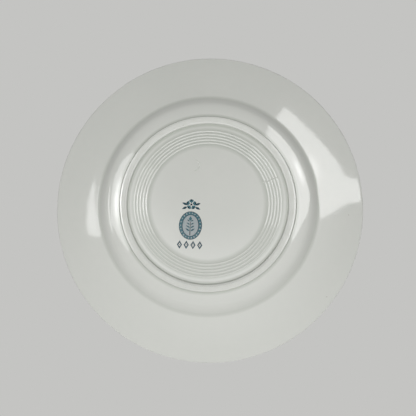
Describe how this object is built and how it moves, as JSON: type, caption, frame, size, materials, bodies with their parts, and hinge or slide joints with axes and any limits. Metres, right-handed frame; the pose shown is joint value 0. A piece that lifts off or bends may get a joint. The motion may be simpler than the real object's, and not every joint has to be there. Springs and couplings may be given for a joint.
{
  "type": "dinner plate",
  "caption": "Round china dinner plate with a broad plain rim, shallow well, low foot ring, reeded base and a small printed mark underneath.",
  "frame": {"origin": "centre of the foot ring's bearing face, the lowest point on the plate's axis", "axes": "+Z up along the plate's turning axis, out of the eating side; +X to the right and -Y upwards in the printed mark as it is read from below"},
  "size_m": [0.24, 0.24, 0.0225],
  "materials": {
    "fired_body": "matte",
    "glaze": "gloss",
    "underglaze_print": "gloss"
  },
  "bodies": {
    "root": {"plate_body": "fired_body", "glaze_outer": "glaze", "glaze_base": "glaze", "print_oval": "underglaze_print", "print_sprig": "underglaze_print", "print_flower": "underglaze_print", "print_lozenge_1": "underglaze_print", "print_lozenge_2": "underglaze_print", "print_lozenge_3": "underglaze_print", "print_lozenge_4": "underglaze_print"}
  },
  "joints": []
}
